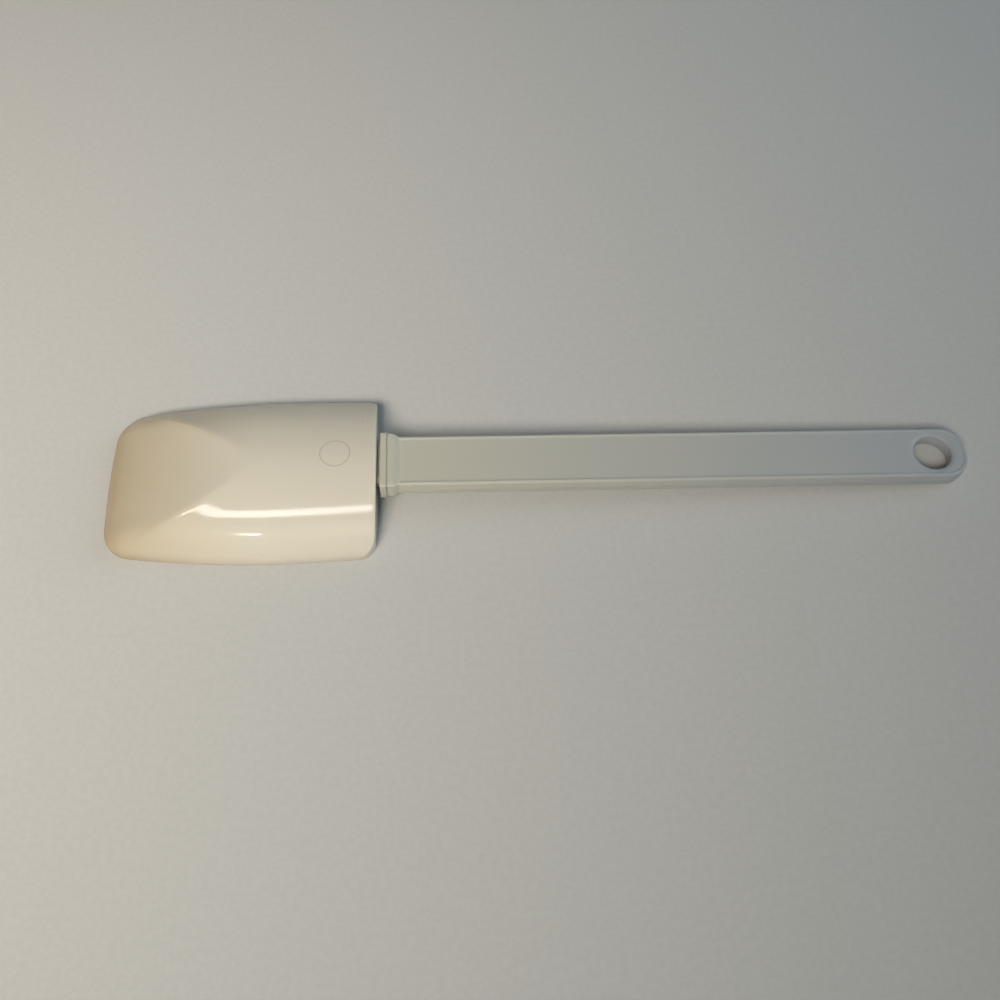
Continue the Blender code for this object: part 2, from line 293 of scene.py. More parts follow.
def new_group(name: str, inputs: dict[str, float], outputs: list[str]) -> tuple[Nodes, dict, dict]:
    """Make an empty shader node group with a place and numbers as inputs, and number outputs.

    Args:
        name: name of the group.
        inputs: name and default value of each number input.
        outputs: names of the outputs.

    Returns:
        The group's nodes, the sockets that its inputs arrive at and those that its outputs leave from.
    """
    group = bpy.data.node_groups.new(name, 'ShaderNodeTree')
    group.interface.new_socket("Vector", in_out='INPUT', socket_type='NodeSocketVector')
    for label, value in inputs.items():
        socket = group.interface.new_socket(label, in_out='INPUT', socket_type='NodeSocketFloat')
        socket.default_value = value
    for label in outputs:
        group.interface.new_socket(label, in_out='OUTPUT', socket_type='NodeSocketFloat')
    entry, leave = group.nodes.new('NodeGroupInput'), group.nodes.new('NodeGroupOutput')
    return Nodes(group), entry.outputs, leave.inputs


def new_material(name: str) -> tuple[bpy.types.Material, Nodes, bpy.types.Node, Socket]:
    """Make a material, and give its nodes, its shader and the place on the object as well."""
    material = bpy.data.materials.new(name)
    material.use_nodes = True
    nodes = Nodes(material.node_tree)
    shader = material.node_tree.nodes["Principled BSDF"]
    return material, nodes, shader, nodes.add('ShaderNodeTexCoord').outputs["Object"]


def moulding_group() -> Tree:
    """Moulded skin: a fine grain and slow waves as a height, and a patchy cloud from 0 to 1."""
    nodes, entry, leave = new_group(
        "moulded_skin", {"Grain Scale": 1500.0, "Wave Scale": 60.0, "Wave Share": 0.5}, ["Height", "Cloud"])
    place, share = entry["Vector"], entry["Wave Share"]
    slow = nodes.maths('MULTIPLY', nodes.noise(place, entry["Wave Scale"], detail=1.0), share)
    fine = nodes.maths('MULTIPLY', nodes.noise(place, entry["Grain Scale"], detail=3.0),
                       nodes.maths('SUBTRACT', 1.0, share))
    nodes.feed(nodes.maths('ADD', slow, fine), leave["Height"])
    cloud = nodes.noise(place, CLOUD_SCALE, detail=3.0, roughness=0.55)
    nodes.feed(nodes.ramp(cloud, *CLOUD_RANGE), leave["Cloud"])
    return nodes.tree


def wear_group() -> Tree:
    """Signs of use: short fine scratches and small dark specks, each as a mask from 0 to 1."""
    nodes, entry, leave = new_group(
        "signs_of_use", {"Scratch Scale": 90.0, "Speck Scale": 260.0, "Speck Size": 0.1},
        ["Scratches", "Specks"])
    place = entry["Vector"]
    masks = []
    for turn, squeeze in SCRATCH_LINES:
        lines = nodes.fill(nodes.add('ShaderNodeMapping'), Vector=place, Scale=(1.0, squeeze, 1.0),
                           Rotation=(0, 0, turn)).outputs["Vector"]
        masks.append(nodes.ramp(nodes.noise(lines, entry["Scratch Scale"], detail=1.0), *SCRATCH_RANGE))
    patches = nodes.ramp(nodes.noise(place, PATCH_SCALE), *PATCH_RANGE)
    scratches = nodes.maths('MULTIPLY', nodes.maths('MAXIMUM', *masks), patches)
    nodes.feed(scratches, leave["Scratches"])
    cells = nodes.fill(nodes.add('ShaderNodeTexVoronoi'), Vector=place, Scale=entry["Speck Scale"]).outputs
    near = nodes.maths('LESS_THAN', cells["Distance"], entry["Speck Size"])
    colour = nodes.fill(nodes.add('ShaderNodeSeparateColor'), Color=cells["Color"]).outputs
    rare = nodes.maths('GREATER_THAN', colour["Red"], SPECK_RARITY)
    nodes.feed(nodes.maths('MULTIPLY', near, rare), leave["Specks"])
    return nodes.tree


@dataclass(frozen=True)
class HeadPlastic:
    """Glossy cream elastomer, stained tan towards the tip, with a plain shallow ring on its back.

    Painted shade darkens its low edges, deepest where stained, and the ring's groove.
    """

    cream: Triple = (0.566, 0.533, 0.458)
    tan: Triple = (0.396, 0.318, 0.203)
    # Colour of the painted shade along the low edges.
    rim: Triple = (0.250, 0.180, 0.100)
    speck: Triple = (0.16, 0.13, 0.09)
    speck_share: float = 0.22
    roughness: float = 0.07
    cloud_roughness: float = 0.04
    scratch_roughness: float = 0.12
    stain_range: Pair = (-0.1920, -0.0939)
    stain_least: float = 0.86
    warp: float = 0.012
    warp_scale: float = 22.0
    # Heights over which the low edges take painted shade, its strength, and its least share where unstained.
    edge_shade_range: Pair = (0.0010, 0.0068)
    edge_shade_share: float = 0.60
    edge_shade_least: float = 0.25
    ring_place: Pair = (-0.0795, 0.0023)
    ring_radius: float = 0.0058
    ring_line: Pair = (0.00008, 0.00034)
    ring_above: float = 0.0125
    # How dark the painted shade in the ring's groove is.
    ring_shade_share: float = 0.36
    ring_depth: float = 0.5

    def build(self, skin: Tree, wear: Tree) -> bpy.types.Material:
        """Make the material from the groups for the moulded skin and the signs of use."""
        material, nodes, shader, place = new_material("head_plastic")
        grain = nodes.group(skin, place, Grain_Scale=900.0, Wave_Scale=75.0, Wave_Share=0.8)
        use = nodes.group(wear, place)
        x, y, z = nodes.axes(place)
        sway = nodes.maths('MULTIPLY', nodes.noise(place, self.warp_scale), self.warp)
        stain = nodes.maths('MULTIPLY',
                            nodes.ramp(nodes.maths('ADD', x, sway), *self.stain_range, 1.0, 0.0),
                            nodes.ramp(grain["Cloud"], 0, 1, self.stain_least, 1.0))
        # Painted shade: darker towards the low edges, where the back turns down away from the light, deepest
        # where stained.
        low = nodes.maths('MULTIPLY', nodes.ramp(z, *self.edge_shade_range, self.edge_shade_share, 0.0),
                          nodes.maths('MAXIMUM', stain, self.edge_shade_least))
        colour = nodes.blend(low, nodes.blend(stain, self.cream, self.tan), self.rim)
        colour = nodes.tint(colour, use["Specks"], self.speck_share, self.speck)
        # Painted shade in the ring's shallow groove.
        ring = self.ring_mask(nodes, x, y, z)
        colour = nodes.tint(colour, ring, self.ring_shade_share, self.speck)
        rough = nodes.ramp(grain["Cloud"], 0, 1, self.roughness, self.roughness + self.cloud_roughness)
        rough = nodes.maths('ADD', rough, nodes.maths('MULTIPLY', use["Scratches"], self.scratch_roughness))
        height = nodes.maths('SUBTRACT', grain["Height"], nodes.maths('MULTIPLY', ring, self.ring_depth))
        nodes.fill(shader, Base_Color=colour, Roughness=rough,
                   Normal=nodes.bump(height, strength=0.16, distance=0.0003), IOR=1.47,
                   Subsurface_Weight=0.12, Subsurface_Radius=(1.0, 0.7, 0.4), Subsurface_Scale=0.002)
        return material

    def ring_mask(self, nodes: Nodes, x: Socket, y: Socket, z: Socket) -> Socket:
        """A thin ring on the back: one where the distance from its middle is its radius, fading out."""
        across = nodes.maths('SUBTRACT', x, self.ring_place[0])
        along = nodes.maths('SUBTRACT', y, self.ring_place[1])
        square = nodes.maths('ADD', nodes.maths('MULTIPLY', across, across),
                             nodes.maths('MULTIPLY', along, along))
        off = nodes.maths('ABSOLUTE', nodes.maths('SUBTRACT', nodes.maths('SQRT', square), self.ring_radius))
        return nodes.maths('MULTIPLY', nodes.ramp(off, *self.ring_line, 1.0, 0.0),
                           nodes.maths('GREATER_THAN', z, self.ring_above))


@dataclass(frozen=True)
class HandlePlastic:
    """Satin nylon with a fine grain and painted light: lighter and warmer towards the head, darker and
    cooler towards the hang hole.
    """

    # Painted light: the lit colour near the head and the shaded colour at the hang hole.
    lit_near_head: Triple = (0.449, 0.434, 0.366)
    shaded_far_end: Triple = (0.345, 0.365, 0.392)
    rubbed: Triple = (0.43, 0.415, 0.365)
    speck: Triple = (0.12, 0.11, 0.09)
    speck_share: float = 0.5
    cloud_share: float = 0.12
    scratch_share: float = 0.10
    roughness: float = 0.36
    cloud_roughness: float = 0.10
    light_falloff_range: Pair = (-0.0640, 0.1715)

    def build(self, skin: Tree, wear: Tree) -> bpy.types.Material:
        """Make the material from the groups for the moulded skin and the signs of use."""
        material, nodes, shader, place = new_material("handle_plastic")
        grain = nodes.group(skin, place, Grain_Scale=1700.0, Wave_Scale=110.0, Wave_Share=0.45)
        use = nodes.group(wear, place, Scratch_Scale=120.0)
        # Painted light falling off from the head towards the hang hole.
        light_falloff = nodes.ramp(nodes.axes(place)[0], *self.light_falloff_range, kind='LINEAR')
        colour = nodes.blend(light_falloff, self.lit_near_head, self.shaded_far_end)
        colour = nodes.tint(colour, grain["Cloud"], self.cloud_share, self.rubbed)
        colour = nodes.tint(colour, use["Specks"], self.speck_share, self.speck)
        colour = nodes.tint(colour, use["Scratches"], self.scratch_share, self.rubbed)
        rough = nodes.ramp(grain["Cloud"], 0, 1, self.roughness, self.roughness + self.cloud_roughness)
        nodes.fill(shader, Base_Color=colour, Roughness=rough,
                   Normal=nodes.bump(grain["Height"], strength=0.30, distance=0.0002), IOR=1.50)
        return material


@dataclass(frozen=True)
class TablePlaster:
    """Plain pale table top with a very faint mottle."""

    colour: Triple = (0.460, 0.455, 0.445)
    light: Triple = (0.480, 0.475, 0.465)
    mottle_range: Pair = (0.35, 0.65)

    def build(self) -> bpy.types.Material:
        """Make the material and return it."""
        material, nodes, shader, place = new_material("table_plaster")
        mottle = nodes.ramp(nodes.noise(place, 420.0, detail=3.0, roughness=0.6), *self.mottle_range)
        height = nodes.noise(place, 520.0, detail=4.0, roughness=0.55)
        nodes.fill(shader, Base_Color=nodes.blend(mottle, self.colour, self.light), Roughness=0.75,
                   Normal=nodes.bump(height, strength=0.25, distance=0.0004))
        return material


# The handle's own frame


@dataclass(frozen=True)
class HandleAxis:
    """The handle's frame: origin at the far end on the bar's mid plane, X along the bar, tilted about Y."""

    tilt: float = 0.03395722
    end_height: float = 0.00366783

    def place(self, points: Array) -> Array:
        """Points of the handle's frame in the tool's frame.

        Formula: x' = end + x cos t + z sin t, y' = y, z' = height - x sin t + z cos t.
        """
        x, y, z = points[..., 0], points[..., 1], points[..., 2]
        cos, sin = math.cos(self.tilt), math.sin(self.tilt)
        return np.stack([TOTAL_LENGTH / 2 + x * cos + z * sin, y, self.end_height - x * sin + z * cos],
                        axis=-1)


# The flexible head


@dataclass
class SpoonHead:
    """The flexible head: arched back with its tip facet, rounded rear edge, thin lip, bowl and socket.

    x runs from the foremost point of the tip, and a share is y over the half width at x.
    """

    axis: HandleAxis
    length: float = 0.1075
    width: float = 0.0725
    tip_width: float = 0.0600
    taper: float = 0.0715
    tip_bow: float = 0.0012
    tip_corner: float = 0.0093
    rear_draw_in: float = 0.0011
    rear_taper: float = 0.0480
    rear_bow: float = 0.0008
    rear_corner: float = 0.0058
    crown: float = 0.0184
    rim_height: float = 0.0012
    arch_power: float = 1.82
    nose_length: float = 0.0600
    nose_power: float = 1.50
    ridge_swell: float = 0.00034
    ridge_reach: float = 0.0027
    swell_fade: float = 0.25
    ridge_blend: float = 0.0012
    crown_fade: int = 8
    corner_blend: float = 0.0055
    corner_foot: float = 1.3
    crisp_from: Pair = (0.30, 0.82)
    rims: Triple = (0.0024, 0.0018, 0.0045)
    wall: float = 0.0024
    bowl_power: float = 2.30
    bowl_sweep: float = 0.0220
    bowl_blend: float = 0.0030
    socket_height: float = 0.0117
    socket_half: float = 0.0033
    socket_floor: float = 0.0024
    socket_corner: float = 0.0004
    socket_end: tuple[Pair, ...] = ((0.0032, 0.0), (0.0010, 0.0012), (0.0, 0.0032))
    tang_length: float = 0.0480
    tang_shrink: float = 0.0015
    rear_round: float = 0.0009
    rear_round_side: float = 0.0003
    foot_round: float = 0.00035
    lip_round: float = 0.0003
    edge_hold: float = 0.00015
    hold_share: float = 0.25
    steps_long: int = 196
    steps_across: int = 80
    steps_round: int = 8
    steps_foot: int = 5
    steps_lip: int = 4
    tip_gather: float = 1.35
    bowl_gather: float = 0.45

    def half_width(self, x: Array, rim: float) -> Array:
        """Half width at x less a rim.

        Formula: W/2 - (W - Wtip)/2 (1 - x/taper)^2 towards the tip, less a smaller square towards the rear.
        """
        drawn_in = (self.width - self.tip_width) / 2 * np.clip(1 - x / self.taper, 0, None) ** 2
        from_rear = np.clip(1 - (self.length - x) / self.rear_taper, 0, None)
        drawn_in = drawn_in + self.rear_draw_in * from_rear ** 2
        return self.width / 2 - drawn_in - rim

    @staticmethod
    def setback(y: Array, half: float, radius: float) -> Array:
        """How far a corner of a radius sets an end edge back at y: r - sqrt(r^2 - d^2)."""
        inside = np.clip(y - (half - radius), 0, radius)
        return radius - np.sqrt(radius ** 2 - inside ** 2)

    def tip_edge(self, share: Array, rim_side: float, rim_tip: float) -> Array:
        """Place of the tip's edge: a bow b share^2 with rounded corners."""
        half = float(self.half_width(np.float64(0), rim_side))
        return rim_tip + self.tip_bow * share ** 2 + self.setback(share * half, half, self.tip_corner)

    def rear_edge(self, share: Array, rim_side: float, rim_rear: float) -> Array:
        """Place of the rear edge: a slight bow b share^2 with rounded corners."""
        half = float(self.half_width(np.float64(self.length), rim_side))
        return (self.length - rim_rear - self.rear_bow * share ** 2
                - self.setback(share * half, half, self.rear_corner))

    @staticmethod
    def arch(share: Array, power: float) -> Array:
        """A superellipse arch across: (1 - share^p)^(1/p)."""
        return (1 - share ** power) ** (1 / power)

    def back_height(self, x: Array, share: Array) -> Array:
        """Height of the back: the lower of an arch across and a nose along, with a soft ridge between them.

        Formula: the nose is a superellipse from the tip's edge over the nose's length. The ridge's blend
        narrows to nothing at the crown and widens into the tip's corners, and a slight swell runs along
        the ridge and fades at both ends.
        """
        rise = self.crown - self.rim_height
        away = np.clip(1 - (x - self.tip_edge(share, 0, 0)) / self.nose_length, 0, 1)
        arch, nose = self.arch(share, self.arch_power), self.arch(away, self.nose_power)
        crisp = smooth_step(nose, *self.crisp_from)
        blend = self.ridge_blend * (1.001 - nose ** self.crown_fade) + self.corner_blend * (1 - crisp)
        low = soft_min(rise * arch, rise * nose, blend, self.corner_foot)
        swell = self.ridge_swell * np.clip(1 - rise * np.abs(arch - nose) / self.ridge_reach, 0, 1) ** 2
        return self.rim_height + low + swell * crisp * smooth_step(away, 0, self.swell_fade)

    def bowl_height(self, x: Array, share: Array) -> Array:
        """Height of the bowl: under the socket's floor, swept down to the lip all round."""
        rim_side, rim_tip, rim_rear = self.rims
        depth = self.length - x
        half = self.socket_half - depth / self.tang_length * self.tang_shrink / 2
        ceiling = self.socket_height + depth * math.tan(self.axis.tilt) - half - self.socket_floor
        from_end = np.clip(self.rear_edge(share, rim_side, rim_rear) - x, 0, self.bowl_sweep)
        sweep = np.sqrt(1 - (1 - from_end / self.bowl_sweep) ** 2)
        from_tip = (x - self.tip_edge(share, rim_side, rim_tip)) / (self.nose_length - rim_tip)
        nose = self.arch(np.clip(1 - from_tip, 0, 1), self.nose_power)
        low = soft_min(ceiling * self.arch(share, self.bowl_power) * sweep,
                       (self.crown - self.wall) * nose, self.bowl_blend)
        return low + self.lip_round * np.exp(-low / self.lip_round)

    def shares(self) -> Array:
        """Shares from +1 to -1 in one row, close together where the arch is steep."""
        cos = np.cos(rounded(2 * self.steps_across, 0, math.pi))[None, :]
        cos[0, self.steps_across] = 0
        return np.sign(cos) * np.abs(cos) ** (2 / self.arch_power)

    def lean(self, z: Array, along: Array) -> Array:
        """How far a point leans back: its height times the handle's slope, growing from tip to rear."""
        return z * math.tan(self.axis.tilt) * along

    def back_grid(self) -> tuple[Array, Array]:
        """The back with its rounded rear edge, and the plan of the same points on the table.

        Formula: rows run from the tip's edge to one radius before the rear edge, then round the edge with
        x = last - r (1 - sin t) and a drop of r (1 - cos t).

        Returns:
            Points of the back and of its plan, both of shape (rows, columns, 3).
        """
        share = self.shares()
        size = np.abs(share)
        first, last = self.tip_edge(size, 0, 0), self.rear_edge(size, 0, 0)
        radius = self.rear_round_side + (self.rear_round - self.rear_round_side) * self.arch(size, 2)
        spread = np.linspace(0, 1, self.steps_long + 1)[:, None] ** self.tip_gather
        turn = rounded(self.steps_round)[1:, None]
        x = np.concatenate([first + (last - radius - first) * spread, last - radius * (1 - np.sin(turn))])
        drop = np.concatenate([0 * spread * radius, radius * (1 - np.cos(turn))])
        z = self.back_height(x, size + 0 * x) - drop
        y = self.half_width(x, 0) * share
        along = (x - first) / (last - first)
        plan = np.stack([x, y, 0 * z], axis=-1)
        return np.stack([x + self.lean(z, along), y, z], axis=-1), plan

    def bowl_grid(self, rows: int) -> Array:
        """The bowl on the hidden side, with as many rows as the back, close together at both ends."""
        rim_side, rim_tip, rim_rear = self.rims
        share = self.shares()
        size = np.abs(share)
        first, last = self.tip_edge(size, rim_side, rim_tip), self.rear_edge(size, rim_side, rim_rear)
        along = 0.5 - 0.5 * np.cos(rounded(rows - 1, 0, math.pi))[:, None]
        even = np.linspace(0, 1, rows)[:, None]
        x = first + (last - first) * (self.bowl_gather * along + (1 - self.bowl_gather) * even)
        z = self.bowl_height(x, size + 0 * x)
        return np.stack([x + self.lean(z, along), self.half_width(x, rim_side) * share, z], axis=-1)

    @staticmethod
    def border(grid: Array) -> Array:
        """The closed border of a grid: along its first row, down a side, back along its last row and up."""
        return np.concatenate([grid[0, :], grid[1:, -1], grid[-1, -2::-1], grid[-2:0:-1, 0]])

    @staticmethod
    def outward(chain: Array) -> Array:
        """Unit normals in the plan of a closed chain, pointing away from its middle."""
        step = np.roll(chain, -1, axis=0) - np.roll(chain, 1, axis=0)
        normal = np.stack([step[:, 1], -step[:, 0], 0 * step[:, 0]], axis=-1)
        normal /= np.linalg.norm(normal, axis=1, keepdims=True)
        facing = np.sum(normal * (chain - chain.mean(axis=0)), axis=1).mean()
        return normal * np.sign(facing)

    def rim_band(self, back: Array, plan: Array, bowl: Array) -> Array:
        """The band from the back's border down its wall, round the foot, along the lip and into the bowl.

        Formula: a straight wall on the leaning line from the back's border to its foot in the plan, a
        quarter circle of the foot's radius, the flat lip and a quarter circle of the lip's radius.

        Args:
            back: grid of the back.
            plan: plan of that grid.
            bowl: grid of the bowl.

        Returns:
            Points of shape (levels, border, 3).
        """
        top, foot, inner = self.border(back), self.border(plan), self.border(bowl)
        floor = inner * IN_PLAN
        out, out_inner = self.outward(foot), self.outward(floor)
        slope = (top - foot) * IN_PLAN / top[:, 2:]
        height = top[:, 2:]
        hold = np.minimum(self.edge_hold, self.hold_share * (height - self.foot_round))
        levels = [foot + slope * z + UP * z for z in (height, height - hold, self.foot_round + hold)]
        for left, drawn in quarter(self.steps_foot):
            z = self.foot_round * left + 0 * height
            levels.append(foot + slope * z + UP * z - out * self.foot_round * drawn)
        levels.append(0.5 * (levels[-1] + floor + out_inner * self.lip_round))
        for left, drawn in quarter(self.steps_lip):
            levels.append(floor + out_inner * self.lip_round * left + UP * self.lip_round * drawn)
        levels[-1] = inner
        return np.stack(levels)

    def build_socket_cutter(self, collar: "Collar") -> bpy.types.Object:
        """The closed shape of the socket that takes the tang, narrowed in steps towards its blind end."""
        clear = collar.clearance
        before_end, narrow = np.array(self.socket_end).T
        places = np.array([collar.flange_front, collar.rear_face, *(collar.tang_end - clear + before_end)])
        width, thickness = collar.tang_size(places)
        half_wide = width / 2 + clear - np.array([0.0, 0.0, *narrow])
        half_high = thickness / 2 + clear + collar.rib_height
        section = rounded_section(half_wide, half_high, np.full(len(places), self.socket_corner))
        shell = Shell()
        shell.add_loft(self.axis.place(along_axis(places, section)))
        return shell.build("socket_cutter")

    def build(self, collar: "Collar") -> bpy.types.Object:
        """Build the head as one closed object, with a socket that fits the collar's tang."""
        back, plan = self.back_grid()
        bowl = self.bowl_grid(len(back))
        shell = Shell()
        shift = np.array([-TOTAL_LENGTH / 2, 0.0, 0.0])
        shell.add_grid(back + shift)
        shell.add_grid(bowl + shift)
        shell.add_grid(self.rim_band(back, plan, bowl) + shift, wrap=True)
        head = shell.build("spoon_head")
        carve(head, self.build_socket_cutter(collar))
        return head


def along_axis(places: Array, section: Array) -> Array:
    """Points of sections in the YZ plane, each set at its place along X."""
    x = np.broadcast_to(places[:, None, None], section[..., :1].shape)
    return np.concatenate([x, section], axis=-1)


def rounded_section(half_wide: Array, half_high: Array, radius: Array, under: float = 1.0) -> Array:
    """Rounded rectangles in the YZ plane, one for each entry.

    Formula: four quarter circles about the corner centres, joined by straight sides cut into equal steps.

    Args:
        half_wide: half widths.
        half_high: half thicknesses.
        radius: radii of the two upper corners.
        under: radius of the two lower corners over that of the upper ones.

    Returns:
        Points of shape (entries, around, 2), counter-clockwise from the right side.
    """
    corners = []
    for number, (sy, sz) in enumerate(((1, 1), (-1, 1), (-1, -1), (1, -1))):
        turn = rounded(CORNER_STEPS, number * math.pi / 2, (number + 1) * math.pi / 2)[None, :]
        size = radius if sz > 0 else radius * under
        y = sy * (half_wide - size)[:, None] + size[:, None] * np.cos(turn)
        z = sz * (half_high - size)[:, None] + size[:, None] * np.sin(turn)
        corners.append(np.stack([y, z], axis=-1))
    parts = []
    share = np.linspace(0, 1, SIDE_STEPS + 1)[1:-1][None, :, None]
    for number, corner in enumerate(corners):
        after = corners[(number + 1) % 4]
        parts += [corner, corner[:, -1:] + (after[:, :1] - corner[:, -1:]) * share]
    return np.concatenate(parts, axis=1)


# The stiff handle


@dataclass
class Collar:
    """Shoulder, groove, stop flange and tang, lofted along the handle's axis."""

    axis: HandleAxis
    rear_face: float = -0.2352397
    gap: float = 0.0012
    flange_length: float = 0.0026
    flange_size: Pair = (0.0250, 0.0101)
    groove_width: float = 0.0004
    groove_depth: float = 0.00035
    shoulder_length: float = 0.0043
    shoulder_size: Pair = (0.0243, 0.0095)
    bar_size: Pair = (0.0222, 0.0073)
    bar_corner: float = 0.0009
    hidden_length: float = 0.0015
    hidden_inset: float = 0.0006
    hidden_corner: float = 0.0008
    slope_share: float = 0.62
    slope_power: float = 1.35
    corner: float = 0.0010
    least_corner: float = 0.0003
    under: float = 1.9
    edge: float = 0.0005
    tang_length: float = 0.0480
    tang_root: Pair = (0.0180, 0.0050)
    tang_tip: Pair = (0.0130, 0.0035)
    tang_corner: float = 0.0012
    root_flare: float = 0.0006
    root_corner: float = 0.0015
    nose_length: float = 0.0030
    nose_drop: float = 0.0006
    nose_corner: float = 0.5
    rib_height: float = 0.0005
    rib_half: float = 0.0015
    rib_count: int = 3
    clearance: float = 0.0003
    steps_slope: int = 14
    steps_tang: int = 149
    steps_nose: int = 8
    steps_edge: int = 5

    @property
    def flange_front(self) -> float:
        """Place of the flange's front face."""
        return self.rear_face + self.gap

    @property
    def tang_end(self) -> float:
        """Place of the tang's end."""
        return self.rear_face - self.tang_length

    def tang_size(self, place: Array) -> tuple[Array, Array]:
        """Width and thickness of the tang, changing evenly from root to tip."""
        share = (self.rear_face - place) / self.tang_length
        width, thickness = (root + (tip - root) * share for root, tip in zip(self.tang_root, self.tang_tip))
        return width, thickness

    def profile(self) -> Array:
        """Stations along the axis as rows of place, half width, half thickness and corner radius."""
        flange_back = self.flange_front + self.flange_length
        front = flange_back + self.groove_width
        back = front + self.shoulder_length
        bar_wide, bar_high = (size / 2 for size in self.bar_size)
        wide, high = (size / 2 for size in self.shoulder_size)
        rows = [(back + self.hidden_length, bar_wide - self.hidden_inset, bar_high - self.hidden_inset,
                 self.hidden_corner)]
        for share in np.linspace(0, 1, self.steps_slope + 1):
            grow = 1 - max(1 - share / self.slope_share, 0) ** self.slope_power
            rows.append((back - share * (self.shoulder_length - self.edge / 2),
                         bar_wide + grow * (wide - bar_wide), bar_high + grow * (high - bar_high),
                         self.bar_corner + grow * (self.corner - self.bar_corner)))
        rows += self.edge_rows(front, -1, wide, high, self.edge / 2)
        deep = self.groove_depth
        rows += [(place, wide - deep, high - deep, self.corner - deep) for place in (front, flange_back)]
        wide, high = (size / 2 for size in self.flange_size)
        rows += self.edge_rows(flange_back, 1, wide, high, self.edge / 2)[::-1]
        rows += self.edge_rows(self.flange_front, -1, wide, high, self.edge)
        wide, high = (size / 2 for size in self.tang_size(np.float64(self.flange_front)))
        rows.append((self.flange_front, wide + self.root_flare, high + self.root_flare, self.root_corner))
        places = np.linspace(self.flange_front - self.root_flare, self.tang_end + self.nose_length,
                             self.steps_tang + 1)
        width, thickness = self.tang_size(places)
        for number in range(self.rib_count):
            centre = self.rear_face - self.tang_length * (number + 1) / (self.rib_count + 1)
            reach = np.clip(1 - ((places - centre) / self.rib_half) ** 2, 0, None)
            thickness = thickness + 2 * self.rib_height * np.sqrt(reach)
        rows += list(zip(places, width / 2, thickness / 2, np.full(len(places), self.tang_corner)))
        wide, high = (size / 2 for size in self.tang_size(np.float64(self.tang_end)))
        for left, fall in quarter(self.steps_nose)[1:]:
            rows.append((self.tang_end + self.nose_length * left, wide - self.nose_length * fall,
                         high - self.nose_drop * fall, self.tang_corner * (1 - self.nose_corner * fall)))
        return np.array(rows)

    def edge_rows(self, place: float, side: int, wide: float, high: float,
                  radius: float) -> list[tuple[float, float, float, float]]:
        """A rounded edge where a block ends: a quarter circle from its full size into its end face.

        Args:
            place: place of the end face.
            side: -1 where the block lies behind the place towards +X, +1 where it lies towards -X.
            wide: half width of the block.
            high: half thickness of the block.
            radius: radius of the edge.

        Returns:
            Rows of place, half width, half thickness and corner radius.
        """
        return [(place - side * radius * left, wide - radius * drawn, high - radius * drawn,
                 max(self.corner - radius * drawn, self.least_corner))
                for left, drawn in quarter(self.steps_edge)]

    def build(self, shell: Shell) -> None:
        """Add the collar and tang to the handle's shell as one closed loft."""
        rows = self.profile()
        section = rounded_section(rows[:, 1], rows[:, 2], rows[:, 3], self.under)
        shell.add_loft(self.axis.place(along_axis(rows[:, 0], section)))


